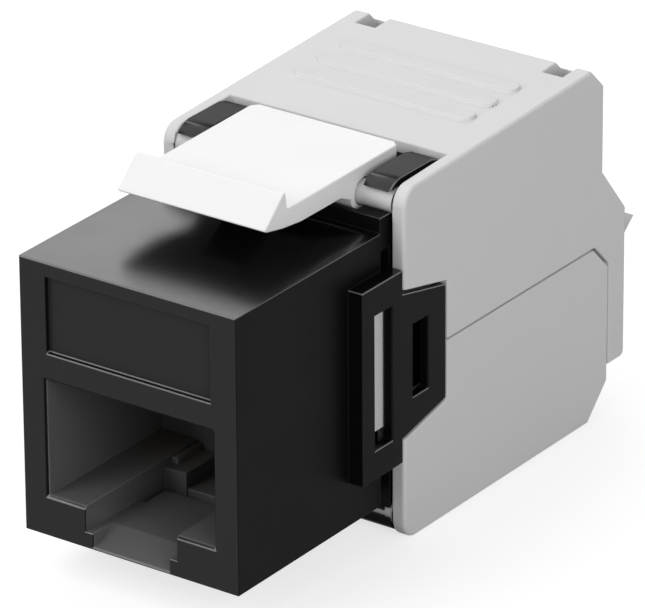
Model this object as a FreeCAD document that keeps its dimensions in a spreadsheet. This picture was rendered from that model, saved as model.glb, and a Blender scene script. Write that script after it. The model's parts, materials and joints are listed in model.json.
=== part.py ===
"""Keystone jack with two hinged clamp covers and a rocking latch.

Frame: +X is the jack's right seen from the plug side, +Y runs back to the cable, +Z is up.
Every sub-part is drawn with the plug face at Y = 0 and the nose's underside at Z = 0, and
its Placement moves it so that the origin lies under the middle of the whole jack.
"""
import FreeCAD, Part
import math
import os
import re

import Sketcher

doc = FreeCAD.newDocument("keystone_jack")

# Driving dimensions, in millimetres.
SIZES = {
    # shared clearances: a running fit, a sliding fit and an air gap
    "fit": 0.06,
    "slide": 0.1,
    "gap": 0.15,
    # nose and plug port
    "nose_width": 14.5,
    "nose_height": 16.5,
    "nose_length": 13.4,
    "port_width": 11.2,
    "port_floor": 2.5,
    "port_height": 6.95,
    "key_width": 6.2,
    "key_depth": 1.5,
    "tab_width": 5.2,
    "tab_depth": 0.85,
    "tab_length": 1.8,
    "mouth_chamfer": 0.18,
    "stop_width": 1.45,
    "stop_front": 7.3,
    "stop_height": 1.0,
    "stop_relief": 0.7,
    "relief_depth": 0.5,
    "relief_length": 2.5,
    "shoulder_front": 7.95,
    "shoulder_width": 0.42,
    "carrier_inset": 3.1,
    "ceiling_lip": 2.2,
    "ceiling_depth": 0.95,
    "label_width": 11.0,
    "label_above_port": 1.65,
    "label_below_top": 0.85,
    "label_depth": 0.3,
    "ramp_length": 7.15,
    "ramp_drop": 0.45,
    "ramp_end": 0.5,
    "rim_width": 0.3,
    "ledge_height": 0.9,
    # neck behind the nose, which carries the hinges
    "neck_wall": 0.55,
    "neck_length": 5.8,
    "neck_floor": 0.35,
    "groove": 0.9,
    # side brackets
    "bracket_length": 3.1,
    "bracket_half": 5.84,
    "bracket_plate": 0.62,
    "window_inset": 1.2,
    "window_half": 4.07,
    "window_length": 1.65,
    "slot_length": 1.5,
    "slot_half": 2.2,
    # hinges
    "middle_lift": 0.22,
    "hinge_above": 1.35,
    "hinge_back": 0.8,
    "pin_radius": 0.75,
    "pin_reach": 0.75,
    "pin_slit": 0.35,
    "ear_thickness": 1.8,
    "ear_rise": 1.3,
    "ear_crown": 0.9,
    "ear_brow": 0.55,
    "ear_heel": 0.5,
    "ear_bevel": 0.2,
    "ear_round": 1.5,
    # covers
    "cover_width": 16.4,
    "cover_wall": 0.85,
    "cover_plate": 0.8,
    "cover_length": 19.8,
    "cover_above": 1.02,
    "cover_slope": 0.68,
    "cover_below": 1.44,
    "cover_corner": 1.15,
    "cover_chamfer": 1.25,
    "cover_edge": 0.22,
    "heel_chamfer": 1.9,
    "plate_set_back": 4.55,
    "tongue_length": 4.15,
    "tongue_half_front": 4.54,
    "tongue_half_rear": 3.62,
    "skirt_step": 2.4,
    "skirt_drop": 7.89,
    "skirt_wall": 1.7,
    "skirt_corner": 0.4,
    "step_rise": 4.5,
    "step_fall": 3.0,
    "split_gap": 0.12,
    "split_chamfer": 1.5,
    "lip_drop": 0.38,
    "lip_rise": 1.09,
    "lip_tip_rise": 0.5,
    "lip_reach": 1.1,
    "lip_inset": 0.2,
    "grip_inset": 2.15,
    "grip_bar": 1.15,
    "grip_height": 0.2,
    "grip_first": 9.8,
    "grip_pitch": 2.2,
    "notch_edge": 1.1,
    "notch_width": 1.35,
    "notch_length": 1.9,
    "notch_depth": 1.1,
    "notch_back": 0.8,
    "cable_width": 7.0,
    # latch and its spring
    "latch_gap": 0.45,
    "latch_reach": 9.25,
    "latch_lip": 2.0,
    "latch_tip_rise": 0.95,
    "latch_ridge_rise": 2.55,
    "latch_catch_rise": 1.53,
    "latch_top_rise": 1.65,
    "latch_under_rise": 0.35,
    "latch_tail": 4.0,
    "latch_corner": 0.85,
    "barrel_radius": 1.2,
    "spring_width": 3.0,
    "spring_thickness": 0.2,
    "spring_tip": 4.7,
    "spring_bend": 2.5,
    "spring_foot": 0.8,
    # chassis, board and wire blocks
    "chassis_wall": 0.65,
    "chassis_clear": 2.28,
    "chassis_rear_gap": 2.1,
    "arm_inset": 2.05,
    "arm_pad_drop": 3.5,
    "bulkhead": 0.9,
    "window_frame": 0.6,
    "board_thickness": 0.8,
    "board_lead": 1.9,
    "board_lip": 0.6,
    "rail_depth": 0.2,
    "block_clear": 0.55,
    "block_rear_clear": 1.5,
    "block_height": 5.6,
    "wire_width": 1.1,
    "wire_depth": 2.9,
    "wire_lead": 0.4,
    "blade_inset": 4.4,
    "blade_thickness": 0.4,
    "blade_width": 1.9,
    "blade_height": 4.2,
    "blade_fork": 0.35,
    "blade_fork_depth": 2.0,
    "presser_reach": 1.77,
    "presser_gap": 1.0,
    # contacts
    "contact_pitch": 1.02,
    "contact_width": 0.4,
    "contact_thickness": 0.25,
    "contact_bend": 3.3,
    "contact_end": 9.4,
    "contact_drop": 2.4,
    "contact_foot": 0.8,
}

# Places and sizes that follow from the driving dimensions.
FORMULAS = {
    "middle": "nose_height / 2 + middle_lift",
    "cover_front": "nose_length + groove",
    "hinge_y": "cover_front + hinge_back",
    "upper_hinge": "nose_height + hinge_above",
    "lower_hinge": "2 * middle - upper_hinge",
    "port_top": "port_floor + port_height",
    "key_floor": "port_floor - key_depth",
    "tab_floor": "key_floor - tab_depth",
    "carrier_front": "nose_length - carrier_inset",
    "channel_top": "port_top + ceiling_depth",
    "ramp_start": "nose_length - ramp_length",
    "ledge_top": "nose_height + ledge_height",
    "neck_rear": "nose_length + neck_length",
    "neck_width": "chassis_inner - 2 * slide",
    "cavity_width": "neck_width - 2 * neck_wall",
    "cavity_floor": "neck_floor + neck_wall",
    "cavity_top": "nose_height - 2 * neck_wall",
    "bracket_front": "nose_length - bracket_length",
    "bracket_high": "middle + bracket_half",
    "bracket_low": "middle - bracket_half",
    "window_front": "bracket_front + window_inset",
    "arm_front": "bracket_front + arm_inset",
    "arm_half": "bracket_half - neck_wall - gap",
    "arm_outer": "cover_width - 2 * bracket_plate - 2 * slide",
    "ear_width": "cover_inside - 2 * gap",
    "ear_gap": "ear_width - 2 * ear_thickness",
    "ear_top": "upper_hinge + ear_rise",
    "cover_inside": "cover_width - 2 * cover_wall",
    "cover_rear": "cover_front + cover_length",
    "cover_top": "upper_hinge + cover_above",
    "cover_bottom": "lower_hinge - cover_below",
    "cover_rear_top": "cover_top + cover_slope",
    "plate_front": "hinge_y + plate_set_back",
    "tongue_rear": "cover_front + tongue_length",
    "skirt_rear": "cover_rear + skirt_step",
    "skirt_inner": "skirt_rear - skirt_wall",
    "skirt_end": "middle - skirt_drop",
    "lower_rear": "skirt_inner - split_gap",
    "split_high": "middle + split_gap / 2",
    "split_low": "middle - split_gap / 2",
    "step_high": "middle + step_rise",
    "step_low": "step_high - step_fall",
    "lip_width": "cover_width - 2 * lip_inset",
    "grip_width": "cover_width - 2 * grip_inset",
    "notch_outer": "cover_width / 2 - notch_edge",
    "notch_inner": "notch_outer - notch_width",
    "notch_rear": "cover_rear - notch_back",
    "latch_width": "ear_gap - 2 * latch_gap",
    "latch_tip": "hinge_y - latch_reach",
    "latch_ridge": "latch_tip + latch_lip",
    "latch_under": "upper_hinge + latch_under_rise",
    "latch_top": "upper_hinge + latch_top_rise",
    "pin_end": "latch_width / 2 - pin_reach",
    "chassis_outer": "cover_inside - 2 * gap",
    "chassis_inner": "chassis_outer - 2 * chassis_wall",
    "chassis_half": "upper_hinge - middle - chassis_clear",
    "chassis_rear": "cover_rear - chassis_rear_gap",
    "bulkhead_front": "neck_rear + gap",
    "bulkhead_rear": "bulkhead_front + bulkhead",
    "board_top": "middle + board_thickness / 2",
    "board_bottom": "middle - board_thickness / 2",
    "board_width": "chassis_inner + 2 * rail_depth",
    "board_nose_width": "cavity_width - 1",
    "board_front": "neck_rear - board_lead",
    "board_rear": "block_rear + board_lip",
    "block_front": "bulkhead_rear + block_clear",
    "block_rear": "chassis_rear - bulkhead - block_rear_clear",
    "block_half": "board_thickness / 2 + block_height",
    "wire_pitch": "(chassis_inner - 2 * gap) / 4",
    "blade_place": "block_front + blade_inset",
    "presser_width": "wire_width - 2 * gap",
    "presser_end": "block_half - presser_reach",
    "contact_top": "channel_top - fit",
    "contact_under": "contact_top - contact_thickness",
    "contact_tail": "board_front + contact_foot",
    "overall_length": "skirt_rear + lip_reach",
}

SIDE = "YZ_Plane"    # sketch axes are the jack's Y and Z, and pads run along X
FRONT = "XZ_Plane"   # sketch axes are X and Z, and the normal is -Y
PLAN = "XY_Plane"    # sketch axes are X and Y, and the normal is +Z
WIRE_PLACES = ("-1.5", "-0.5", "0.5", "1.5")    # in wire pitches from the middle
CONTACTS = 8
BLADES_A_SIDE = 4
GRIP_BARS = 3
SMALL = 1e-5

sheet = doc.addObject("Spreadsheet::Sheet", "sheet")
for row, (name, size) in enumerate(SIZES.items(), start=1):
    sheet.set(f"A{row}", name)
    sheet.set(f"B{row}", str(size))
    sheet.setAlias(f"B{row}", name)
doc.recompute()


def bound(text):
    """A formula in which each name is a cell of the sheet, or is written out as one."""
    def full(word):
        name = word.group(0)
        if name in FORMULAS:
            return "(" + bound(FORMULAS[name]) + ")"
        return "sheet." + name if name in SIZES else name
    return re.sub(r"[a-z_][a-z0-9_]*", full, text)


def new_body(label):
    body = doc.addObject("PartDesign::Body", label)
    body.Label = label
    return body


def new_sketch(body, plane, start="0"):
    """An empty sketch on one of the body's own planes, moved along its normal by start."""
    sketch = body.newObject("Sketcher::SketchObject", body.Label + "_sketch")
    origin = next(part for part in body.Origin.OriginFeatures if part.Role == plane)
    sketch.AttachmentSupport = [(origin, "")]
    sketch.MapMode = "FlatFace"
    sketch.setExpression("AttachmentOffset.Base.z", bound(start))
    return sketch


def fix_point(sketch, line, point, across, up):
    """Holds one point of a line or circle at a place given by two formulas."""
    for kind, formula in (("DistanceX", across), ("DistanceY", up)):
        place = sketch.addConstraint(Sketcher.Constraint(kind, -1, 1, line, point, 1.0))
        sketch.setExpression(f"Constraints[{place}]", bound(formula))


def outline(sketch, corners):
    """A closed outline of straight lines through the corners."""
    first = sketch.GeometryCount
    count = len(corners)
    ring = [FreeCAD.Vector(math.cos(turn), math.sin(turn), 0)
            for turn in (2 * math.pi * step / count for step in range(count))]
    for step in range(count):
        sketch.addGeometry(Part.LineSegment(ring[step], ring[(step + 1) % count]))
    for step in range(count):
        following = first + (step + 1) % count
        sketch.addConstraint(Sketcher.Constraint("Coincident", first + step, 2, following, 1))
    for step, (across, up) in enumerate(corners):
        fix_point(sketch, first + step, 1, across, up)
    return sketch


def rectangle(sketch, left, right, low, high):
    return outline(sketch, [(left, low), (right, low), (right, high), (left, high)])


def both_sides(sketch, inner, outer, low, high):
    """Two rectangles, mirrored across the sketch's upright axis."""
    rectangle(sketch, inner, outer, low, high)
    rectangle(sketch, f"-({outer})", f"-({inner})", low, high)
    return sketch


def circle(sketch, across, up, radius):
    line = sketch.addGeometry(Part.Circle(FreeCAD.Vector(1, 1, 0), FreeCAD.Vector(0, 0, 1), 1))
    fix_point(sketch, line, 3, across, up)
    place = sketch.addConstraint(Sketcher.Constraint("Radius", line, 1.0))
    sketch.setExpression(f"Constraints[{place}]", bound(radius))
    return sketch


def sweep(sketch, kind, length, centred, turned):
    """Pads or pockets a sketch, and stops if the body's volume went the wrong way."""
    body = sketch.getParentGeoFeatureGroup()
    before = 0 if body.Shape.isNull() else body.Shape.Volume
    feature = body.newObject("PartDesign::" + kind, body.Label + "_" + kind.lower())
    feature.Profile = sketch
    feature.SideType = "Symmetric" if centred else "One side"
    feature.Reversed = turned
    feature.setExpression("Length", bound(length))
    body.Tip = feature
    doc.recompute()
    if (body.Shape.Volume > before) != (kind == "Pad"):
        raise RuntimeError(f"{feature.Name} changed nothing")
    return feature


def pad(sketch, length, centred=True, turned=False):
    return sweep(sketch, "Pad", length, centred, turned)


def pocket(sketch, length, centred=True, turned=False):
    return sweep(sketch, "Pocket", length, centred, turned)


def side_pad(body, corners, width):
    """Adds a side-view outline, centred across the jack."""
    return pad(outline(new_sketch(body, SIDE), corners), width)


def side_pocket(body, corners, width):
    return pocket(outline(new_sketch(body, SIDE), corners), width)


def flipped(corners):
    """The same side-view outline, mirrored in the plane where the two covers meet."""
    return [(across, f"2 * middle - ({up})") for across, up in corners]


def fillet(body, wanted, radius):
    """Rounds each straight or curved edge of the body that wanted() picks."""
    base = body.Tip
    edges = [f"Edge{number}" for number, edge in enumerate(body.Shape.Edges, start=1)
             if edge.Length > SMALL and wanted(edge)]
    rounded = body.newObject("PartDesign::Fillet", body.Label + "_fillet")
    rounded.Base = (base, edges)
    rounded.setExpression("Radius", bound(radius))
    body.Tip = rounded
    doc.recompute()
    return rounded


def chamfer(body, wanted, size):
    """Takes the sharpness off each edge of the body that wanted() picks."""
    base = body.Tip
    edges = [f"Edge{number}" for number, edge in enumerate(body.Shape.Edges, start=1)
             if edge.Length > SMALL and wanted(edge)]
    cut = body.newObject("PartDesign::Chamfer", body.Label + "_chamfer")
    cut.Base = (base, edges)
    cut.setExpression("Size", bound(size))
    body.Tip = cut
    doc.recompute()
    return cut


def ends(edge):
    return edge.valueAt(edge.FirstParameter), edge.valueAt(edge.LastParameter)


def halfway(edge):
    return edge.valueAt((edge.FirstParameter + edge.LastParameter) / 2)


def at_corner(sketch, corners):
    """Picks the edges that run across the jack at the listed corners of a side-view sketch."""
    places = [sketch.Placement.multVec(sketch.Geometry[corner].StartPoint) for corner in corners]

    def wanted(edge):
        first, last = ends(edge)
        crossing = abs(first.y - last.y) + abs(first.z - last.z) < SMALL
        return crossing and any(math.hypot(first.y - place.y, first.z - place.z) < SMALL
                                for place in places)
    return wanted


def on_rim(body, sketch, plain):
    """Picks the outer side faces' edges, apart from those along the listed sketch lines."""
    reach = body.Shape.BoundBox.XMax
    lines = [(sketch.Placement.multVec(sketch.Geometry[line].StartPoint),
              sketch.Placement.multVec(sketch.Geometry[line].EndPoint)) for line in plain]

    def wanted(edge):
        first, last = ends(edge)
        if abs(abs(first.x) - reach) > SMALL or abs(first.x - last.x) > SMALL:
            return False
        middle = halfway(edge)
        middle.x = 0
        return not any(abs(middle.distanceToPoint(low) + middle.distanceToPoint(high)
                           - low.distanceToPoint(high)) < SMALL for low, high in lines)
    return wanted


def bracket(body):
    """A bracket on each side: a framed window over the chassis arm, and a tongue behind it."""
    rear = "cover_front - gap"
    front_half = "(tongue_half_front - gap)"
    rear_half = "(tongue_half_rear - gap)"
    side_pad(body, [
        ("bracket_front", "bracket_low"), (rear, "bracket_low"), (rear, f"middle - {front_half}"),
        ("tongue_rear - gap", f"middle - {rear_half}"),
        ("tongue_rear - gap", f"middle + {rear_half}"),
        (rear, f"middle + {front_half}"), (rear, "bracket_high"), ("bracket_front", "bracket_high")],
        "cover_width")
    arm_room = new_sketch(body, SIDE)
    rectangle(arm_room, "arm_front - gap", "neck_rear", "middle - arm_half - gap",
              "middle + arm_half + gap")
    pocket(arm_room, "cover_width - 2 * bracket_plate")
    openings = new_sketch(body, SIDE)
    rectangle(openings, "window_front", "window_front + window_length",
              "middle - window_half", "middle + window_half")
    rectangle(openings, "hinge_y", "hinge_y + slot_length", "middle - slot_half", "middle + slot_half")
    pocket(openings, "cover_width + 2")


def nose_and_neck(body):
    """The nose's outside, narrowed where the chassis arms pass, and the neck behind it."""
    nose = new_sketch(body, SIDE)
    rectangle(nose, "0", "arm_front - gap", "0", "nose_height")
    pad(nose, "nose_width")
    beside_arms = new_sketch(body, SIDE)
    start = "arm_front - 2 * gap"
    rectangle(beside_arms, start, "nose_length", "0", "middle - arm_half - gap")
    rectangle(beside_arms, start, "nose_length", "middle + arm_half + gap", "nose_height")
    pad(beside_arms, "nose_width")
    neck = new_sketch(body, SIDE)
    rectangle(neck, start, "neck_rear", "neck_floor", "nose_height")
    pad(neck, "neck_width")
    ledge = new_sketch(body, SIDE)
    rectangle(ledge, "nose_length", "cover_front", "cavity_top", "ledge_top")
    pad(ledge, "ear_width")


def hinge_ears(body):
    """Hooks over the upper cover's pins, and a barrel-shaped bar round the lower cover's pins."""
    ear_base = "middle + arm_half + gap"
    ear = [
        ("cover_front", ear_base), ("neck_rear", ear_base), ("neck_rear", "ear_top - ear_heel"),
        ("neck_rear - ear_bevel", "ear_top - ear_bevel"), ("neck_rear - ear_crown", "ear_top"),
        ("hinge_y - slide", "ear_top"), ("cover_front", "ear_top - ear_brow")]
    for corners in (ear, flipped(ear)):
        hook = side_pad(body, corners, "ear_width")
        fillet(body, at_corner(hook.Profile[0], [5]), "ear_round")
    latch_room = new_sketch(body, SIDE)
    rectangle(latch_room, "cover_front", "neck_rear + 1", "nose_height", "ear_top + 1")
    pocket(latch_room, "ear_gap")
    seats = new_sketch(body, SIDE)
    circle(seats, "hinge_y", "upper_hinge", "pin_radius + fit")
    circle(seats, "hinge_y", "lower_hinge", "pin_radius + fit")
    pocket(seats, "cover_width")
    mouth = new_sketch(body, SIDE)
    rectangle(mouth, "cover_front", "hinge_y", "ledge_top", "upper_hinge + pin_radius")
    pocket(mouth, "cover_width")
    for side, outward in (("-1", False), ("1", True)):
        slit = new_sketch(body, SIDE, f"{side} * (ear_width / 2 - pin_slit)")
        rectangle(slit, "cover_front - gap", "hinge_y", "lower_hinge - pin_radius / 4",
                  "lower_hinge + pin_radius / 2")
        pocket(slit, "1", centred=False, turned=outward)
    barrel_room = circle(new_sketch(body, SIDE), "hinge_y", "upper_hinge", "barrel_radius + gap")
    pocket(barrel_room, "ear_gap")


def on_mouth(edge):
    """Picks the port's mouth on the plug face, down to its side ledges and without its keyway."""
    first, last = ends(edge)
    in_face = abs(first.y) + abs(last.y) < SMALL
    reach = SIZES["port_width"] / 2 + SMALL
    above = SIZES["port_floor"] - SMALL
    return in_face and all(abs(end.x) < reach and end.z > above for end in (first, last))


def plug_port(body):
    """The keyed port, its stops and contact channel, and the room for the carrier behind it."""
    half, key, tab = "port_width / 2", "key_width / 2", "tab_width / 2"
    over_floor = "key_floor + gap"
    port = outline(new_sketch(body, FRONT), [
        (f"-{half}", "port_floor"), (f"-{key}", "port_floor"), (f"-{key}", "key_floor"),
        (key, "key_floor"), (key, "port_floor"), (half, "port_floor"), (half, "port_top"),
        (f"-{half}", "port_top")])
    pocket(port, "carrier_front", centred=False)
    side_pocket(body, [
        ("0", "tab_floor"), ("tab_length", "key_floor"), ("tab_length", over_floor), ("0", over_floor)],
        "tab_width")
    chamfer(body, on_mouth, "mouth_chamfer")
    relief = new_sketch(body, PLAN, "key_floor - relief_depth")
    outline(relief, [
        (f"-{key}", "stop_front - relief_length"), (f"-{tab}", "stop_front - relief_length"),
        (f"-{tab}", "stop_front - stop_relief"), (tab, "stop_front - stop_relief"),
        (tab, "stop_front - relief_length"), (key, "stop_front - relief_length"),
        (key, "stop_front + gap"), (f"-{key}", "stop_front + gap")])
    pocket(relief, "key_depth", centred=False, turned=True)
    for front, width, top in (("shoulder_front", "shoulder_width", "port_floor - slide"),
                              ("stop_front", "stop_width", "key_floor + stop_height")):
        steps = new_sketch(body, FRONT, f"-{front}")
        both_sides(steps, f"{key} - {width}", f"{key} + slide", "key_floor - relief_depth - slide", top)
        pad(steps, f"carrier_front - {front} + slide", centred=False, turned=True)
    channel = new_sketch(body, FRONT, "-ceiling_lip")
    rectangle(channel, "-4 * contact_pitch - gap", "4 * contact_pitch + gap", "port_top - slide",
              "channel_top")
    pocket(channel, "carrier_front - ceiling_lip", centred=False)
    cavity = new_sketch(body, FRONT, "-carrier_front")
    rectangle(cavity, "-cavity_width / 2", "cavity_width / 2", "cavity_floor", "cavity_top")
    pocket(cavity, "neck_rear - carrier_front + 1", centred=False)


def front_housing():
    """The black moulding: nose with its port, side brackets, and neck with the hinge ears."""
    body = new_body("front_housing")
    bracket(body)
    nose_and_neck(body)
    hinge_ears(body)
    plug_port(body)
    label = new_sketch(body, FRONT)
    rectangle(label, "-label_width / 2", "label_width / 2",
              "port_top + label_above_port", "nose_height - label_below_top")
    pocket(label, "label_depth", centred=False)
    ramp_end = "nose_length - ramp_end"
    side_pocket(body, [
        ("ramp_start", "nose_height"), (ramp_end, "nose_height - ramp_drop"),
        (ramp_end, "ledge_top"), ("ramp_start", "ledge_top")], "nose_width - 2 * rim_width")
    return body


def latch_lever():
    """The white rocker: a wedge lip, a catch ridge and a barrel on the hinge pins."""
    body = new_body("latch_lever")
    tail = "hinge_y + latch_tail"
    tip_height = "upper_hinge + latch_tip_rise"
    ridge_height = "upper_hinge + latch_ridge_rise"
    side_pad(body, [
        ("latch_tip", tip_height), ("latch_tip + 0.25", f"{tip_height} - gap"),
        ("latch_ridge - 0.25", "latch_under + gap"), ("latch_ridge + 1", "latch_under"),
        ("nose_length - 0.6", "latch_under"), ("hinge_y", "upper_hinge - barrel_radius / 2"),
        (f"{tail} - 0.5", "upper_hinge - 0.1"), (tail, "upper_hinge + 0.3"),
        (tail, "latch_top - 0.5"), (f"{tail} - 0.5", "latch_top"),
        ("latch_ridge + 0.6", "upper_hinge + latch_catch_rise"),
        ("latch_ridge + gap", "upper_hinge + latch_catch_rise"),
        ("latch_ridge", ridge_height), ("latch_ridge - 0.25", ridge_height)], "latch_width")
    corners = new_sketch(body, PLAN, "latch_under")
    for side in ("", "-"):
        outline(corners, [
            (f"{side}(latch_width / 2 - latch_corner)", tail),
            (f"{side}latch_width / 2", f"{tail} - latch_corner"),
            (f"{side}(latch_width / 2 + gap)", f"{tail} + gap")])
    pocket(corners, "latch_ridge_rise + barrel_radius", centred=True)
    pad(circle(new_sketch(body, SIDE), "hinge_y", "upper_hinge", "barrel_radius"), "latch_width")
    for side, outward in (("-1", False), ("1", True)):
        bore = new_sketch(body, SIDE, f"{side} * (pin_end - gap)")
        circle(bore, "hinge_y", "upper_hinge", "pin_radius + fit")
        pocket(bore, "latch_width", centred=False, turned=outward)
    return body


def latch_spring():
    """The leaf under the latch: its foot lies on the nose's ramp and its tip bears on the latch."""
    body = new_body("latch_spring")
    fall = "ramp_drop / (ramp_length - ramp_end)"
    foot, bend, rise = "nose_length - spring_foot", "nose_length - spring_bend", "nose_length - spring_tip"
    foot_seat = f"nose_height - ({foot} - ramp_start) * {fall} + fit"
    bend_seat = f"nose_height - ({bend} - ramp_start) * {fall} + fit"
    tip = "latch_under - fit"
    side_pad(body, [
        (foot, foot_seat), (foot, f"{foot_seat} + spring_thickness"),
        (f"{bend} + spring_thickness", f"{bend_seat} + spring_thickness"),
        (f"{rise} + 2 * spring_thickness", tip), (f"{rise} - 2 * spring_thickness", tip),
        (f"{rise} - 2 * spring_thickness", f"{tip} - spring_thickness"),
        (f"{rise} + spring_thickness", f"{tip} - spring_thickness"), (bend, bend_seat)], "spring_width")
    return body


def hinge_pins(body, height):
    """Two stub pins, moulded with the walls and left open between their inner ends."""
    pad(circle(new_sketch(body, SIDE), "hinge_y", height, "pin_radius"), "cover_width - cover_wall")
    between = circle(new_sketch(body, SIDE), "hinge_y", height, "pin_radius + fit")
    pocket(between, "2 * pin_end")


def cover_shell(body, corners, corner, plain, hollow):
    """A cover's outside with its rounded front corner and edges, hollowed, and open at the front."""
    shell = side_pad(body, corners, "cover_width")
    sketch = shell.Profile[0]
    for numbers, radius in corner:
        fillet(body, at_corner(sketch, numbers), radius)
    fillet(body, on_rim(body, sketch, plain), "cover_edge")
    side_pocket(body, hollow, "cover_inside")


def wire_pressers(body, start, length, turned):
    """Ribs that push the wires down into the blades, parted where the blade stands."""
    ribs = new_sketch(body, PLAN, start)
    for place in WIRE_PLACES:
        left = f"{place} * wire_pitch - presser_width / 2"
        right = f"{place} * wire_pitch + presser_width / 2"
        rectangle(ribs, left, right, "block_front + 1", "blade_place - presser_gap")
        rectangle(ribs, left, right, "blade_place + presser_gap", "block_rear - 0.5")
    pad(ribs, length, centred=False, turned=turned)


def upper_cover():
    """The grey upper clamp cover with its skirt, finger lip, grip bars and wire pressers."""
    body = new_body("upper_cover")
    under_front = "cover_top - cover_plate"
    under_rear = "cover_rear_top - cover_plate"
    wall_inner = "cover_rear - cover_wall"
    cover_shell(body, [
        ("cover_front", "middle + tongue_half_front"), ("cover_front", "cover_top"),
        ("cover_rear - cover_chamfer", "cover_rear_top"), ("cover_rear", "cover_rear_top - cover_chamfer"),
        ("cover_rear", "step_high"), ("skirt_rear", "step_low"), ("skirt_rear", "skirt_end"),
        ("skirt_inner", "skirt_end"), ("skirt_inner", "split_high - split_chamfer"),
        ("skirt_inner - split_chamfer", "split_high"), ("tongue_rear", "split_high"),
        ("tongue_rear", "middle + tongue_half_rear")],
        [([1], "cover_corner"), ([6], "skirt_corner")], [7, 8, 9, 10, 11], [
        ("cover_front - 1", under_front), ("cover_front - 1", "0"), ("skirt_inner", "0"),
        ("skirt_inner", "step_low + 1"), (wall_inner, "step_high"),
        (wall_inner, f"{under_rear} - cover_chamfer / 2"),
        (f"{wall_inner} - cover_chamfer / 2", under_rear)])
    front_gap = new_sketch(body, SIDE)
    rectangle(front_gap, "cover_front - 1", "plate_front", "middle", "cover_top + 2")
    pocket(front_gap, "cover_inside")
    hinge_pins(body, "upper_hinge")
    side_pad(body, [
        ("skirt_rear - gap", "middle - lip_drop"), ("skirt_rear", "middle - lip_drop"),
        ("skirt_rear + lip_reach", "middle + lip_tip_rise"), ("skirt_rear", "middle + lip_rise"),
        ("skirt_rear - gap", "middle + lip_rise")], "lip_width")
    exit_start = "-(cover_rear - 2 * cover_wall)"
    exit_length = "2 * cover_wall + skirt_step + 2 * lip_reach"
    slot = new_sketch(body, FRONT, exit_start)
    rectangle(slot, "-cable_width / 2", "cable_width / 2", "skirt_end - 1", "middle")
    pocket(slot, exit_length, centred=False)
    arch = circle(new_sketch(body, FRONT, exit_start), "0", "middle", "cable_width / 2")
    pocket(arch, exit_length, centred=False)
    for bar in range(GRIP_BARS):
        along = f"(grip_first + {bar} * grip_pitch)"
        surface = f"cover_top + cover_slope * {along} / (cover_length - cover_chamfer)"
        grip = new_sketch(body, PLAN, f"{surface} - cover_plate / 4")
        rectangle(grip, "-grip_width / 2", "grip_width / 2", f"cover_front + {along} - grip_bar / 2",
                  f"cover_front + {along} + grip_bar / 2")
        pad(grip, "grip_height + cover_plate / 4", centred=False)
    fillet(body, grip_end, "grip_bar / 2 - 0.05")
    notches = new_sketch(body, PLAN, "cover_rear_top - notch_depth")
    both_sides(notches, "notch_inner", "notch_outer", "notch_rear - notch_length", "notch_rear")
    pocket(notches, "notch_depth + 1", centred=False, turned=True)
    rib_top = f"{under_front} + cover_slope"
    wire_pressers(body, rib_top, f"{rib_top} - middle - presser_end", True)
    return body


def grip_end(edge):
    """Picks the short upright edges at the ends of the grip bars."""
    first, last = ends(edge)
    upright = abs(first.x - last.x) + abs(first.y - last.y) < SMALL
    return upright and edge.Length < SIZES["grip_height"] * 1.5


def lower_cover():
    """The grey lower clamp cover, which the jack rests on."""
    body = new_body("lower_cover")
    floor = "cover_bottom + cover_plate"
    wall_inner = "lower_rear - cover_wall"
    cover_shell(body, [
        ("cover_front", "middle - tongue_half_front"), ("tongue_rear", "middle - tongue_half_rear"),
        ("tongue_rear", "split_low"), ("lower_rear - split_chamfer", "split_low"),
        ("lower_rear", "split_low - split_chamfer"), ("lower_rear", "cover_bottom + heel_chamfer"),
        ("lower_rear - heel_chamfer", "cover_bottom"), ("cover_front", "cover_bottom")],
        [([7], "cover_corner")], [0, 1, 2, 3, 4], [
        ("cover_front - 1", floor), (f"{wall_inner} - 1.5", floor), (wall_inner, f"{floor} + 1.5"),
        (wall_inner, "middle"), ("cover_front - 1", "middle")])
    front_gap = new_sketch(body, SIDE)
    rectangle(front_gap, "cover_front - 1", "plate_front", "cover_bottom - 1", "middle")
    pocket(front_gap, "cover_inside")
    hinge_pins(body, "lower_hinge")
    hollow = new_sketch(body, FRONT, "-(lower_rear - 2 * cover_wall)")
    pocket(circle(hollow, "0", "middle", "cable_width / 2"), "4 * cover_wall", centred=False)
    rib_foot = f"({floor} - cover_plate / 2)"
    wire_pressers(body, rib_foot, f"middle - presser_end - {rib_foot}", False)
    return body


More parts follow.
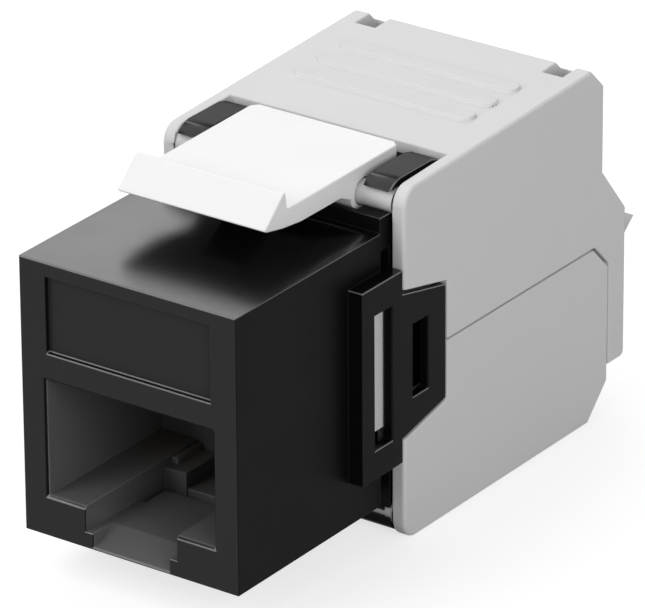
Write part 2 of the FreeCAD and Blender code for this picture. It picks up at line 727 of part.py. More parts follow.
def rear_chassis():
    """The grey inner frame: arms in the brackets, bulkheads, side walls and a cable saddle."""
    body = new_body("rear_chassis")
    walls = new_sketch(body, SIDE)
    rectangle(walls, "bulkhead_front", "chassis_rear", "middle - chassis_half", "middle + chassis_half")
    pad(walls, "chassis_outer")
    arms = new_sketch(body, SIDE)
    rectangle(arms, "cover_front - 2 * gap", "bulkhead_front + gap", "middle - arm_half",
              "middle + arm_half")
    pad(arms, "chassis_outer")
    arm_pads = new_sketch(body, SIDE)
    rectangle(arm_pads, "arm_front", "cover_front - gap", "middle - arm_pad_drop", "middle + arm_half")
    pad(arm_pads, "arm_outer")
    for start, end in (("arm_front - 1", "bulkhead_front"), ("bulkhead_rear", "chassis_rear - bulkhead")):
        room = new_sketch(body, SIDE)
        rectangle(room, start, end, "cover_bottom", "ear_top")
        pocket(room, "chassis_inner")
    rails = new_sketch(body, SIDE)
    rectangle(rails, "bulkhead_front - gap", "board_rear + gap", "board_bottom - fit / 2",
              "board_top + fit / 2")
    pocket(rails, "board_width + 2 * fit")
    window = new_sketch(body, FRONT, "-neck_rear")
    rectangle(window, "-board_nose_width / 2 + window_frame", "board_nose_width / 2 - window_frame",
              "middle - slot_half * 2", "middle + slot_half * 2")
    pocket(window, "bulkhead + 2 * gap", centred=False)
    saddle = new_sketch(body, FRONT, "-(chassis_rear - 2 * bulkhead)")
    pocket(circle(saddle, "0", "middle", "cable_width / 2"), "3 * bulkhead", centred=False)
    return body


def circuit_board():
    """The board that joins the contacts to the blades, narrower where it enters the neck."""
    body = new_body("circuit_board")
    shoulder = "neck_rear + 2 * gap"
    wide, narrow = "board_width / 2", "board_nose_width / 2"
    blank = outline(new_sketch(body, PLAN, "board_bottom"), [
        (f"-({narrow})", "board_front"), (narrow, "board_front"), (narrow, shoulder),
        (wide, shoulder), (wide, "board_rear"), (f"-({wide})", "board_rear"),
        (f"-({wide})", shoulder), (f"-({narrow})", shoulder)])
    pad(blank, "board_thickness", centred=False)
    return body


def contact_carrier():
    """The block at the back of the port, with a passage for each contact."""
    body = new_body("contact_carrier")
    half = "cavity_width / 2 - fit"
    block = new_sketch(body, FRONT, "-(carrier_front + fit)")
    rectangle(block, f"-({half})", half, "cavity_floor + fit", "cavity_top - fit")
    pad(block, "neck_rear - carrier_front - fit", centred=False, turned=True)
    board_room = new_sketch(body, SIDE)
    rectangle(board_room, "board_front - fit", "neck_rear + 1", "board_bottom - fit", "board_top")
    pocket(board_room, "cover_width")
    passages = new_sketch(body, FRONT, "-(carrier_front - 1)")
    for number in range(CONTACTS):
        centre = f"({number} - {CONTACTS / 2 - 0.5}) * contact_pitch"
        rectangle(passages, f"{centre} - contact_width / 2 - fit", f"{centre} + contact_width / 2 + fit",
                  "contact_under - fit", "contact_top + fit")
    pocket(passages, "contact_tail - carrier_front + 2", centred=False)
    tails = new_sketch(body, SIDE)
    rectangle(tails, "contact_tail - 2 * gap", "neck_rear + 1", "middle", "contact_top + fit")
    pocket(tails, f"{CONTACTS} * contact_pitch")
    return body


def contact(number):
    """One gold wire: its free end hangs in the port, and its tail stands on the board."""
    body = new_body(f"contact_{number + 1}")
    free_end = "contact_top - contact_drop"
    wire = new_sketch(body, SIDE, f"({number} - {CONTACTS / 2 - 0.5}) * contact_pitch")
    outline(wire, [
        ("contact_bend", "contact_under - 0.1"), ("contact_end", f"{free_end} - 1.1 * contact_thickness"),
        ("contact_end", free_end), ("contact_bend + 0.55", "contact_under"),
        ("contact_tail", "contact_under"), ("contact_tail", "board_top"),
        ("contact_tail + contact_thickness", "board_top"),
        ("contact_tail + contact_thickness", "contact_top"), ("contact_bend + 0.1", "contact_top"),
        ("contact_bend", "contact_top - 0.1")])
    pad(wire, "contact_width")
    return body


def wire_block(label, up):
    """A block with four wire slots over or under the board, each with room for its blade."""
    body = new_body(label)
    sign = "1" if up else "-1"
    crown = f"middle + {sign} * block_half"
    blank = new_sketch(body, SIDE)
    rectangle(blank, "block_front", "block_rear", f"middle + {sign} * board_thickness / 2", crown)
    pad(blank, "chassis_inner - 2 * fit")
    slots = new_sketch(body, FRONT, "-(block_front - 1)")
    rooms = new_sketch(body, PLAN, f"{crown} + {sign}")
    for place in WIRE_PLACES:
        centre = f"{place} * wire_pitch"
        near, mouth = "wire_width / 2", "(wire_width / 2 + wire_lead)"
        floor, lead = f"{crown} - {sign} * wire_depth", f"{crown} - {sign} * wire_lead"
        outline(slots, [
            (f"{centre} - {near}", floor), (f"{centre} + {near}", floor), (f"{centre} + {near}", lead),
            (f"{centre} + {mouth}", crown), (f"{centre} + {mouth}", f"{crown} + {sign}"),
            (f"{centre} - {mouth}", f"{crown} + {sign}"), (f"{centre} - {mouth}", crown),
            (f"{centre} - {near}", lead)])
        rectangle(rooms, f"{centre} - blade_width / 2 - fit", f"{centre} + blade_width / 2 + fit",
                  "blade_place - blade_thickness / 2 - fit", "blade_place + blade_thickness / 2 + fit")
    pocket(slots, "block_rear - block_front + 2", centred=False)
    pocket(rooms, "block_height + 2", centred=False, turned=not up)
    return body


def blade(number):
    """One forked blade: the first four stand on the board and the others hang under it."""
    body = new_body(f"idc_blade_{number + 1}")
    sign = "1" if number < BLADES_A_SIDE else "-1"
    base = f"middle + {sign} * board_thickness / 2"
    centre = f"{WIRE_PLACES[number % BLADES_A_SIDE]} * wire_pitch"
    tip = f"{base} + {sign} * blade_height"
    throat = f"{tip} - {sign} * blade_fork_depth"
    wide, narrow = "blade_width / 2", "blade_fork / 2"
    plate = outline(new_sketch(body, FRONT, "-blade_place"), [
        (f"{centre} - {wide}", base), (f"{centre} + {wide}", base),
        (f"{centre} + {wide}", f"{tip} - {sign} * 0.3"), (f"{centre} + {wide} / 2", tip),
        (f"{centre} + {narrow}", f"{tip} - {sign} * 0.5"), (f"{centre} + {narrow}", throat),
        (f"{centre} - {narrow}", throat), (f"{centre} - {narrow}", f"{tip} - {sign} * 0.5"),
        (f"{centre} - {wide} / 2", tip), (f"{centre} - {wide}", f"{tip} - {sign} * 0.3")])
    pad(plate, "blade_thickness")
    return body


def main():
    bodies = [
        front_housing(), latch_lever(), latch_spring(), upper_cover(), lower_cover(), rear_chassis(),
        circuit_board(), contact_carrier(),
        wire_block("wire_block_upper", True), wire_block("wire_block_lower", False)]
    bodies += [contact(number) for number in range(CONTACTS)]
    bodies += [blade(number) for number in range(2 * BLADES_A_SIDE)]
    for body in bodies:
        body.setExpression("Placement.Base.y", bound("-overall_length / 2"))
        body.setExpression("Placement.Base.z", bound("-cover_bottom"))
    doc.recompute()
    for item in doc.Objects:
        if "Invalid" in item.State or "Error" in item.State:
            raise RuntimeError(f"{item.Name} failed: {item.State}")
    for body in bodies:
        if body.Shape.isNull() or not body.Shape.isValid():
            raise RuntimeError(f"{body.Label} has no valid shape")
        if len(body.Shape.Solids) != 1:
            raise RuntimeError(f"{body.Label} is in {len(body.Shape.Solids)} pieces")
    os.makedirs("parts", exist_ok=True)
    for body in bodies:
        body.Shape.exportStep(os.path.join("parts", body.Label + ".step"))
        print(body.Label, round(body.Shape.Volume, 2))


main()
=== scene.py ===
"""The keystone jack's finish: moulded edges, plastics, gold and tin, on a pale studio floor."""
import json
import math

import bmesh
import bpy
from mathutils import Matrix, Vector


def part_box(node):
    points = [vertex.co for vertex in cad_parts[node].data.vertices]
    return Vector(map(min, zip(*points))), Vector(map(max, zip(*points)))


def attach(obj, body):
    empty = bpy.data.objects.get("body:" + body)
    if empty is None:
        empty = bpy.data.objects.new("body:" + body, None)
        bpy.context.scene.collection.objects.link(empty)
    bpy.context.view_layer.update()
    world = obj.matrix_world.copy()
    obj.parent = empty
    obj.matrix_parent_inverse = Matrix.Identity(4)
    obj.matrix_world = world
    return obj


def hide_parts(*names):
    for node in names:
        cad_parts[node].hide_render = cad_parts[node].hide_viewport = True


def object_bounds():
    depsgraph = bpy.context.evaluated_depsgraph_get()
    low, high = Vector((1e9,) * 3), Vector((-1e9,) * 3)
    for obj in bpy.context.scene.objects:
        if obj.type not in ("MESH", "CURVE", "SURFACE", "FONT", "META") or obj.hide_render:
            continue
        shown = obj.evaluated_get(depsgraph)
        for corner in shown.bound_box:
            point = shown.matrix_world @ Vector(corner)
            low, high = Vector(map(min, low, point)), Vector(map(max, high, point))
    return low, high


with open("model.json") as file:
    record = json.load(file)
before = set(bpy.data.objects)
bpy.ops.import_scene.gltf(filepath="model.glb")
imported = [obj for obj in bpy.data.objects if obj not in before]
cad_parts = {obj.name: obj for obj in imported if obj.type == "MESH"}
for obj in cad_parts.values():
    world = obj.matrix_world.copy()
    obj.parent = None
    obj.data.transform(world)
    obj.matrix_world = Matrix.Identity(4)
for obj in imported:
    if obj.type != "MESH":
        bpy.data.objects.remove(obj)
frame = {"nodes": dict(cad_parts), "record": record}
cad_low, cad_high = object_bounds()

MM = 0.001
BODY_OF = {node: body for body, nodes in frame["record"]["behaviour"]["bodies"].items() for node in nodes}
SLOT_OF = {entry["node"]: entry["material_slot"] for entry in frame["record"]["subparts"]}


# ---------------------------------------------------------------- camera, light and floor

VIEW_AZIMUTH = math.radians(35.61)
VIEW_ELEVATION = math.radians(24.73)
VIEW_ROLL = 0.00696
VIEW_DISTANCE = 377.5 * MM
VIEW_LENS = 378.3
AIM_FROM_CENTRE = Vector((0.676, -1.689, 0.16)) * MM

LAMPS_AIM = Vector((0, 0, 10)) * MM
WORLD_STRENGTH = 0.25
FLOOR_SIDE = 3
FLOOR_TONE = 0.42
FLOOR_LIFT = 0.7


def point_at(item, place, target):
    """Puts a lamp at its place and turns it to face the target."""
    item.location = place
    item.rotation_mode = "QUATERNION"
    item.rotation_quaternion = (target - place).to_track_quat("-Z", "Y")


def add_camera():
    """A long lens from the front right, above the jack."""
    flat = math.cos(VIEW_ELEVATION)
    level = Vector((math.sin(VIEW_AZIMUTH), -math.cos(VIEW_AZIMUTH), 0))
    back = level * flat + Vector((0, 0, math.sin(VIEW_ELEVATION)))
    right = Vector((math.cos(VIEW_AZIMUTH), math.sin(VIEW_AZIMUTH), 0))
    up = back.cross(right)
    camera = bpy.data.objects.new("camera", bpy.data.cameras.new("camera"))
    bpy.context.scene.collection.objects.link(camera)
    camera.data.lens = VIEW_LENS
    camera.data.clip_start = 10 * MM
    rolled_right = right * math.cos(VIEW_ROLL) - up * math.sin(VIEW_ROLL)
    rolled_up = right * math.sin(VIEW_ROLL) + up * math.cos(VIEW_ROLL)
    turn = Matrix((rolled_right, rolled_up, back)).transposed()
    camera.rotation_mode = "QUATERNION"
    camera.rotation_quaternion = turn.to_quaternion()
    camera.location = (cad_low + cad_high) / 2 + AIM_FROM_CENTRE + back * VIEW_DISTANCE
    bpy.context.scene.camera = camera


def add_softbox(name, place, size, watts):
    """A square lamp, placed and sized in millimetres, turned to the jack."""
    light = bpy.data.lights.new(name, "AREA")
    light.shape = "SQUARE"
    light.size = size * MM
    light.energy = watts
    item = bpy.data.objects.new(name, light)
    bpy.context.scene.collection.objects.link(item)
    point_at(item, Vector(place) * MM, LAMPS_AIM)


def add_studio():
    """Four soft lamps, a dim even world and a white floor that keeps the shadow."""
    add_softbox("top_box", (-120, -60, 340), 380, 0.48)
    add_softbox("back_box", (-175, 225, 222), 240, 0.40)
    add_softbox("right_box", (290, -170, 150), 220, 0.54)
    add_softbox("front_box", (-160, -330, 200), 220, 0.60)
    world = bpy.data.worlds.new("studio")
    world.use_nodes = True
    world.node_tree.nodes["Background"].inputs["Color"].default_value = (1, 1, 1, 1)
    world.node_tree.nodes["Background"].inputs["Strength"].default_value = WORLD_STRENGTH
    bpy.context.scene.world = world
    bpy.ops.mesh.primitive_plane_add(size=FLOOR_SIDE, location=(0, 0, 0))
    floor = bpy.context.object
    floor.name = "floor"
    floor.data.materials.append(floor_material())
    bpy.context.scene.view_settings.view_transform = "Standard"


def floor_material():
    """White paper, lifted where it is looked at or mirrored, so that its shadows stay light."""
    material = bpy.data.materials.new("floor_paper")
    material.use_nodes = True
    nodes, links = material.node_tree.nodes, material.node_tree.links
    principled = nodes["Principled BSDF"]
    principled.inputs["Base Color"].default_value = (FLOOR_TONE, FLOOR_TONE, FLOOR_TONE, 1)
    principled.inputs["Roughness"].default_value = 0.9
    principled.inputs["Specular IOR Level"].default_value = 0.1
    ray = nodes.new("ShaderNodeLightPath")
    looked_at = ray.outputs["Is Camera Ray"]
    for mirrored in ("Is Glossy Ray", "Is Transmission Ray"):
        either = nodes.new("ShaderNodeMath")
        either.operation = "MAXIMUM"
        links.new(looked_at, either.inputs[0])
        links.new(ray.outputs[mirrored], either.inputs[1])
        looked_at = either.outputs[0]
    lift = nodes.new("ShaderNodeMath")
    lift.operation = "MULTIPLY"
    lift.inputs[1].default_value = FLOOR_LIFT
    links.new(looked_at, lift.inputs[0])
    links.new(lift.outputs[0], principled.inputs["Emission Strength"])
    principled.inputs["Emission Color"].default_value = (1, 1, 1, 1)
    return material


# ---------------------------------------------------------------- finishes

def new_group(name, inputs, outputs):
    """An empty shader group with float and colour sockets."""
    group = bpy.data.node_groups.new(name, "ShaderNodeTree")
    for socket, kind, start in inputs:
        made = group.interface.new_socket(socket, in_out="INPUT", socket_type=kind)
        made.default_value = start
    for socket, kind in outputs:
        group.interface.new_socket(socket, in_out="OUTPUT", socket_type=kind)
    return group, group.nodes.new("NodeGroupInput"), group.nodes.new("NodeGroupOutput")


def moulded_group():
    """Moulded plastic: fine spark grain, a faint cloudy sheen, and rubbed edges."""
    group, given, made = new_group("moulded_surface", [
        ("Color", "NodeSocketColor", (0.5, 0.5, 0.5, 1)),
        ("Edge Color", "NodeSocketColor", (0.6, 0.6, 0.6, 1)),
        ("Roughness", "NodeSocketFloat", 0.5), ("Grain Size", "NodeSocketFloat", 0.12),
        ("Rubbed Edge", "NodeSocketFloat", 0.3), ("Clouding", "NodeSocketFloat", 0.06)], [
        ("Color", "NodeSocketColor"), ("Roughness", "NodeSocketFloat"), ("Height", "NodeSocketFloat")])
    nodes, links = group.nodes, group.links
    place = nodes.new("ShaderNodeTexCoord")
    in_mm = nodes.new("ShaderNodeMapping")
    in_mm.inputs["Scale"].default_value = (1000, 1000, 1000)
    links.new(place.outputs["Object"], in_mm.inputs["Vector"])
    fineness = nodes.new("ShaderNodeMath")
    fineness.operation = "DIVIDE"
    fineness.inputs[0].default_value = 1
    links.new(given.outputs["Grain Size"], fineness.inputs[1])
    grain = nodes.new("ShaderNodeTexNoise")
    grain.inputs["Detail"].default_value = 3
    links.new(in_mm.outputs["Vector"], grain.inputs["Vector"])
    links.new(fineness.outputs[0], grain.inputs["Scale"])
    clouds = nodes.new("ShaderNodeTexNoise")
    clouds.inputs["Scale"].default_value = 0.35
    clouds.inputs["Detail"].default_value = 4
    links.new(in_mm.outputs["Vector"], clouds.inputs["Vector"])
    # edge mask: where a rounded normal leaves the face's own normal
    rounded = nodes.new("ShaderNodeBevel")
    rounded.samples = 4
    rounded.inputs["Radius"].default_value = 0.12 * MM
    facing = nodes.new("ShaderNodeNewGeometry")
    agree = nodes.new("ShaderNodeVectorMath")
    agree.operation = "DOT_PRODUCT"
    links.new(rounded.outputs["Normal"], agree.inputs[0])
    links.new(facing.outputs["Normal"], agree.inputs[1])
    edge = nodes.new("ShaderNodeMapRange")
    edge.inputs["From Min"].default_value = 0.995
    edge.inputs["From Max"].default_value = 0.85
    links.new(agree.outputs["Value"], edge.inputs["Value"])
    wear_and_highlight = nodes.new("ShaderNodeMath")
    wear_and_highlight.operation = "MULTIPLY"
    links.new(edge.outputs["Result"], wear_and_highlight.inputs[0])
    links.new(given.outputs["Rubbed Edge"], wear_and_highlight.inputs[1])
    tint = nodes.new("ShaderNodeMix")
    tint.data_type = "RGBA"
    links.new(wear_and_highlight.outputs[0], tint.inputs["Factor"])
    links.new(given.outputs["Color"], tint.inputs["A"])
    links.new(given.outputs["Edge Color"], tint.inputs["B"])
    links.new(tint.outputs["Result"], made.inputs["Color"])
    centred = nodes.new("ShaderNodeMath")
    centred.operation = "SUBTRACT"
    centred.inputs[1].default_value = 0.5
    links.new(clouds.outputs["Fac"], centred.inputs[0])
    cloudy = nodes.new("ShaderNodeMath")
    cloudy.operation = "MULTIPLY_ADD"
    links.new(centred.outputs[0], cloudy.inputs[0])
    links.new(given.outputs["Clouding"], cloudy.inputs[1])
    links.new(given.outputs["Roughness"], cloudy.inputs[2])
    links.new(cloudy.outputs[0], made.inputs["Roughness"])
    links.new(grain.outputs["Fac"], made.inputs["Height"])
    return group


def plastic(name, group, color, edge_color, roughness, grain, bump,
            wear_and_highlight=0.3, clouding=0.3, specular=0.5):
    """A moulded plastic: grain is the size of its relief in millimetres, bump the relief's strength."""
    material = bpy.data.materials.new(name)
    material.use_nodes = True
    nodes, links = material.node_tree.nodes, material.node_tree.links
    principled = nodes["Principled BSDF"]
    surface = nodes.new("ShaderNodeGroup")
    surface.node_tree = group
    surface.inputs["Color"].default_value = (*color, 1)
    surface.inputs["Edge Color"].default_value = (*edge_color, 1)
    surface.inputs["Roughness"].default_value = roughness
    surface.inputs["Grain Size"].default_value = grain
    surface.inputs["Rubbed Edge"].default_value = wear_and_highlight
    surface.inputs["Clouding"].default_value = clouding
    relief = nodes.new("ShaderNodeBump")
    relief.inputs["Distance"].default_value = 0.01 * MM
    relief.inputs["Strength"].default_value = bump
    links.new(surface.outputs["Height"], relief.inputs["Height"])
    links.new(surface.outputs["Color"], principled.inputs["Base Color"])
    links.new(surface.outputs["Roughness"], principled.inputs["Roughness"])
    links.new(relief.outputs["Normal"], principled.inputs["Normal"])
    principled.inputs["Specular IOR Level"].default_value = specular
    return material


def metal(name, color, roughness, draw_scale):
    """Drawn or rolled strip: fine lines along it and a slightly uneven tone."""
    material = bpy.data.materials.new(name)
    material.use_nodes = True
    nodes, links = material.node_tree.nodes, material.node_tree.links
    principled = nodes["Principled BSDF"]
    principled.inputs["Metallic"].default_value = 1
    place = nodes.new("ShaderNodeTexCoord")
    along = nodes.new("ShaderNodeMapping")
    along.inputs["Scale"].default_value = draw_scale
    links.new(place.outputs["Object"], along.inputs["Vector"])
    lines = nodes.new("ShaderNodeTexNoise")
    lines.inputs["Scale"].default_value = 1
    lines.inputs["Detail"].default_value = 3
    links.new(along.outputs["Vector"], lines.inputs["Vector"])
    tone = nodes.new("ShaderNodeMix")
    tone.data_type = "RGBA"
    tone.inputs["A"].default_value = (*[part * 0.8 for part in color], 1)
    tone.inputs["B"].default_value = (*color, 1)
    links.new(lines.outputs["Fac"], tone.inputs["Factor"])
    links.new(tone.outputs["Result"], principled.inputs["Base Color"])
    polish = nodes.new("ShaderNodeMapRange")
    polish.inputs["To Min"].default_value = roughness * 0.7
    polish.inputs["To Max"].default_value = roughness * 1.3
    links.new(lines.outputs["Fac"], polish.inputs["Value"])
    links.new(polish.outputs["Result"], principled.inputs["Roughness"])
    return material


def make_finishes():
    """Every finish by its slot's name, and the housing's own further ones."""
    moulded = moulded_group()
    return {
        "black_plastic": plastic("black_moulding", moulded, (0.004, 0.004, 0.0042), (0.05, 0.05, 0.052),
                                 0.45, 0.10, 0.25, wear_and_highlight=0.4, clouding=0.15, specular=0.05),
        # Painted light: a lighter copy of the black, 0.024 against 0.004, for the faces at the housing's
        # front, as if more light fell on them than on the sides.
        "front_painted_light": plastic("front_painted_light", moulded, (0.024, 0.024, 0.0235), (0.08, 0.08, 0.08),
                               0.45, 0.10, 0.25, wear_and_highlight=0.4, clouding=0.15, specular=0.08),
        "polished_black": plastic("polished_black", moulded, (0.003, 0.003, 0.0031), (0.06, 0.06, 0.062),
                                  0.22, 0.10, 0.08, wear_and_highlight=0.4, clouding=0.08, specular=0.5),
        "ear_black": plastic("ear_black", moulded, (0.003, 0.003, 0.0031), (0.06, 0.06, 0.062),
                             0.30, 0.10, 0.10, wear_and_highlight=0.4, clouding=0.08, specular=0.06),
        # Painted highlight: a pale grey, 0.16 against the black's 0.004, for the housing's narrow upward
        # edge strips, where light from above would catch the rounded edges.
        "edge_highlight_black": plastic("edge_highlight_black", moulded, (0.16, 0.16, 0.16), (0.2, 0.2, 0.2),
                                0.35, 0.10, 0.10, wear_and_highlight=0.4, clouding=0.1, specular=0.5),
        # Painted light: a lighter copy of the black moulding, 0.10 against 0.004, for the port's walls
        # and the contact carrier, so that they read as lit inside the shaded port.
        "port_painted_light": plastic("port_painted_light", moulded, (0.10, 0.10, 0.101), (0.25, 0.25, 0.25),
                               0.5, 0.12, 0.2, wear_and_highlight=0.4, clouding=0.1, specular=0.3),
        "white_plastic": plastic("white_latch", moulded, (0.87, 0.87, 0.865), (0.92, 0.92, 0.92),
                                 0.42, 0.14, 0.15, wear_and_highlight=0.3, clouding=0.2),
        "grey_plastic": plastic("grey_moulding", moulded, (0.70, 0.70, 0.705), (0.8, 0.8, 0.8),
                                0.55, 0.09, 0.35, wear_and_highlight=0.35, clouding=0.2, specular=0.3),
        "natural_plastic": plastic("natural_block", moulded, (0.66, 0.65, 0.62), (0.75, 0.75, 0.72),
                                   0.45, 0.12, 0.2),
        "board_laminate": plastic("board_lacquer", moulded, (0.02, 0.13, 0.06), (0.3, 0.3, 0.2),
                                  0.3, 0.3, 0.15, wear_and_highlight=0.6),
        "contact_gold": metal("contact_gold", (0.83, 0.58, 0.22), 0.22, (9000, 300, 9000)),
        "blade_tin": metal("blade_tin", (0.75, 0.75, 0.74), 0.35, (9000, 9000, 400)),
        "spring_steel": metal("spring_strip", (0.28, 0.28, 0.29), 0.35, (9000, 300, 9000)),
    }


# ---------------------------------------------------------------- pieces

def only(item):
    """Selects one piece and makes it the active one."""
    bpy.ops.object.select_all(action="DESELECT")
    item.select_set(True)
    bpy.context.view_layer.objects.active = item


SHARP_ANGLE = math.radians(32)
SMOOTH_ANGLE = math.radians(40)
FLAT_ANGLE = math.radians(0.5)
MERGE_WITHIN = 0.002 * MM
ROUNDING_STEPS = 3
ALONG = 0.87
SHARE_OF_EDGE = 0.4
FRONT_FACE_DEPTH = 0.35 * MM


def weigh_edges(mesh, radius, outward_only):
    """Gives each sharp edge the share of the rounding that the edges meeting it leave room for.

    With outward_only the inner corners stay sharp, apart from those in the front face.
    """
    built = bmesh.new()
    built.from_mesh(mesh)
    weight = built.edges.layers.float.new("bevel_weight_edge")
    front_zone = cad_low[1] + FRONT_FACE_DEPTH
    for edge in built.edges:
        in_front = all(vertex.co.y < front_zone for vertex in edge.verts)
        wanted = not outward_only or edge.is_convex or in_front
        if len(edge.link_faces) == 2 and wanted and edge.calc_face_angle() > SHARP_ANGLE:
            edge[weight] = min(1, room_beside(edge) / radius)
    built.to_mesh(mesh)
    built.free()


def room_beside(edge):
    """How far an edge's rounding may reach along the edges that leave it sideways."""
    run = (edge.verts[1].co - edge.verts[0].co).normalized()
    room = 1
    for vertex in edge.verts:
        for other in vertex.link_edges:
            side = other.other_vert(vertex).co - vertex.co
            if other is not edge and abs(side.normalized().dot(run)) < ALONG:
                room = min(room, SHARE_OF_EDGE * side.length)
    return room


def softened(node, radius, shape=None):
    """The node's solid with its edges rounded, which stands for it; shape may change it first."""
    source = frame["nodes"][node]
    piece = source.copy()
    piece.data = source.data.copy()
    piece.name = node + "_moulding"
    bpy.context.scene.collection.objects.link(piece)
    only(piece)
    bpy.ops.object.mode_set(mode="EDIT")
    bpy.ops.mesh.select_all(action="SELECT")
    bpy.ops.mesh.remove_doubles(threshold=MERGE_WITHIN)
    bpy.ops.mesh.dissolve_limited(angle_limit=FLAT_ANGLE)
    bpy.ops.object.mode_set(mode="OBJECT")
    if shape:
        shape(piece)
    weigh_edges(piece.data, radius * MM, outward_only=node == "front_housing")
    bevel = piece.modifiers.new("edges", "BEVEL")
    bevel.width = radius * MM
    bevel.segments = ROUNDING_STEPS
    bevel.limit_method = "WEIGHT"
    bevel.use_clamp_overlap = False
    bevel.loop_slide = True
    bpy.ops.object.modifier_apply(modifier=bevel.name)
    bpy.ops.object.shade_smooth_by_angle(angle=SMOOTH_ANGLE)
    flatten = piece.modifiers.new("flat_faces", "WEIGHTED_NORMAL")
    flatten.keep_sharp = True
    bpy.ops.object.modifier_apply(modifier=flatten.name)
    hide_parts(node)
    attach(piece, BODY_OF[node])
    return piece


# the housing's and the latch's own places, in millimetres, from the latch's axis where they say so
NOSE_TOP_BELOW_PIVOT = 1.35
RAMP_END_AHEAD_OF_PIVOT = 2.2
RAMP_START_AHEAD_OF_PIVOT = 8.85
RAMP_RIM = 6.95
RAMP_DROP = 0.45
RAMP_FLANK = 3.45
MIDDLE_BELOW_PIVOT = 9.38
SLOT_LENGTH = 1.5
SLOT_HALF = 2.2
CUT_AHEAD_OF_SLOT = 0.05
CUT_BEHIND_SLOT = 1.65
CUT_BEYOND_SLOT = 0.7
CUT_ACROSS = 20
TAIL_TRIM = 0.42
SAME_PLACE = 0.05 * MM


def latch_pivot():
    """The latch's axis, which the nose's top, ramp and side slots are placed from."""
    joints = {entry["name"]: entry for entry in frame["record"]["behaviour"]["joints"]}
    return Vector(joints["latch_press"]["pos_m"])


def ease_ramp(piece):
    """Draws the ramp's lower rear corners inwards, so that slanting flanks run up to its rims."""
    corner = latch_pivot() - Vector((0, RAMP_END_AHEAD_OF_PIVOT, NOSE_TOP_BELOW_PIVOT + RAMP_DROP)) * MM
    for vertex in piece.data.vertices:
        off = vertex.co - corner
        beside = abs(off.x) - RAMP_RIM * MM
        if max(abs(off.y), abs(off.z), abs(beside)) < SAME_PLACE:
            vertex.co.x -= math.copysign(RAMP_FLANK * MM, vertex.co.x)


def trim_tail(piece):
    """Sets the latch's rear face forward to the edge of its top, which leaves a slot before the cover."""
    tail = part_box("latch_lever")[1][1]
    for vertex in piece.data.vertices:
        if vertex.co.y > tail - SAME_PLACE:
            vertex.co.y -= TAIL_TRIM * MM


def cut_arm_slots(piece):
    """Cuts the chassis arms through behind the slots in the housing's tongues."""
    pivot = latch_pivot()
    bpy.ops.mesh.primitive_cube_add(size=MM)
    cutter = bpy.context.object
    length = SLOT_LENGTH + CUT_AHEAD_OF_SLOT + CUT_BEHIND_SLOT
    height = 2 * (SLOT_HALF + CUT_BEYOND_SLOT)
    cutter.dimensions = Vector((CUT_ACROSS, length, height)) * MM
    cutter.location = pivot + Vector((0, length / 2 - CUT_AHEAD_OF_SLOT, -MIDDLE_BELOW_PIVOT)) * MM
    only(piece)
    cut = piece.modifiers.new("slots", "BOOLEAN")
    cut.operation = "DIFFERENCE"
    cut.solver = "EXACT"
    cut.object = cutter
    bpy.ops.object.modifier_apply(modifier=cut.name)
    bpy.data.objects.remove(cutter)


EDGE_STRIP = 0.05 * MM
EDGE_TILT = (0.2, 0.9)
FACES_UP = 0.35
LIES_FLAT = 0.95
FACES_FRONT = -0.9
FRONT_DEPTH = 1 * MM
UNDER_LATCH_HALF = 7.1 * MM
UNDER_LATCH_DEPTH = 1 * MM
ABOVE_NOSE = 0.2


def dress_housing(piece, finishes):
    """The port and the front faces get lighter blacks as painted light, what looks up is polished, and
    narrow upward edge strips get a pale grey as a painted highlight.
    """
    for finish in ("port_painted_light", "polished_black", "front_painted_light", "ear_black", "edge_highlight_black"):
        piece.data.materials.append(finishes[finish])
    painted_port_light, polished, front, ear, wear_and_highlight = range(1, 6)
    low, high = port_opening()
    front_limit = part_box("front_housing")[0][1] + FRONT_DEPTH
    above_nose = latch_pivot().z - (NOSE_TOP_BELOW_PIVOT - ABOVE_NOSE) * MM
    for face in piece.data.polygons:
        tilted = EDGE_TILT[0] < face.normal.z < EDGE_TILT[1]
        in_port = in_box(face.center, low, high)
        rounded = tilted and strip_width(piece, face) < EDGE_STRIP
        # Painted highlight: narrow strips tilted upwards, outside the port and out of the shade under the
        # latch, take the pale edge grey.
        if rounded and not in_port and not under_latch(face, above_nose):
            face.material_index = wear_and_highlight
        elif in_port:
            face.material_index = painted_port_light
        elif face.normal.z > FACES_UP:
            flat_ear = face.center.z > above_nose and face.normal.z > LIES_FLAT
            face.material_index = ear if flat_ear else polished
        # Painted light: faces turned to the front near the housing's front take the lighter black.
        elif face.normal.y < FACES_FRONT and face.center.y < front_limit:
            face.material_index = front


def under_latch(face, above_nose):
    """Whether a face lies in the shade between the latch and the ramp, where no edge gets the painted
    highlight.
    """
    inside = abs(face.center.x) < UNDER_LATCH_HALF and face.center.z > above_nose - UNDER_LATCH_DEPTH
    return inside and face.center.y > latch_pivot().y - RAMP_START_AHEAD_OF_PIVOT * MM


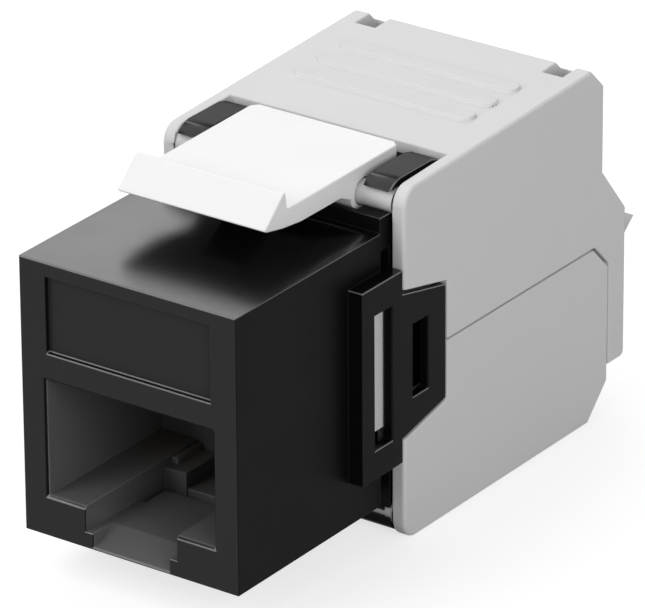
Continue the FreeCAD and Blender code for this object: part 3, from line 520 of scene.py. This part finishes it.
def in_box(place, low, high):
    """Whether a place lies between two corners of a box."""
    return all(low[axis] < place[axis] < high[axis] for axis in range(3))


def strip_width(piece, face):
    """How wide a long thin face is: its area shared along its longest side."""
    corners = [piece.data.vertices[index].co for index in face.vertices]
    longest = max((corners[index] - corners[index - 1]).length for index in range(len(corners)))
    return face.area / longest


PORT_SIDE_ROOM = 0.4 * MM
PORT_ROOF_ROOM = 3.2 * MM
PORT_FRONT_GAP = 0.1 * MM


def port_opening():
    """The port's keyed room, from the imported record's opening, grown to its walls."""
    openings = {entry["name"]: entry["box_m"] for entry in frame["record"]["physics"]["openings"]}
    low, high = openings["plug_port"]
    floor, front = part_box("front_housing")[0][2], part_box("front_housing")[0][1]
    lowest = (low[0] - PORT_SIDE_ROOM, front + PORT_FRONT_GAP, floor)
    highest = (high[0] + PORT_SIDE_ROOM, high[1], high[2] + PORT_ROOF_ROOM)
    return lowest, highest


# roundings in millimetres, by the start of a node's name
EDGE_RADIUS = {
    "front_housing": 0.07,
    "latch_lever": 0.10,
    "upper_cover": 0.10,
    "lower_cover": 0.10,
    "rear_chassis": 0.06,
    "contact_carrier": 0.05,
    "wire_block": 0.07,
    "circuit_board": 0.04,
    "contact_": 0.05,
    "idc_blade": 0.05,
    "latch_spring": 0.04,
}


def edge_radius(node):
    """The rounding of a node's edges, from the longest name in the list that its own starts with."""
    return EDGE_RADIUS[max((name for name in EDGE_RADIUS if node.startswith(name)), key=len)]


SHAPED = {"front_housing": ease_ramp, "latch_lever": trim_tail, "rear_chassis": cut_arm_slots}


def main():
    """Sets up the studio, then rounds and dresses every node."""
    bpy.ops.object.select_all(action="DESELECT")
    add_camera()
    add_studio()
    finishes = make_finishes()
    for node in list(frame["nodes"]):
        piece = softened(node, edge_radius(node), SHAPED.get(node))
        piece.data.materials.clear()
        piece.data.materials.append(finishes[SLOT_OF[node]])
        if node == "front_housing":
            dress_housing(piece, finishes)
        # Painted light: the carrier takes the port's lighter black in place of its slot's black, so that
        # it reads as lit inside the port.
        if node == "contact_carrier":
            piece.data.materials[0] = finishes["port_painted_light"]


main()
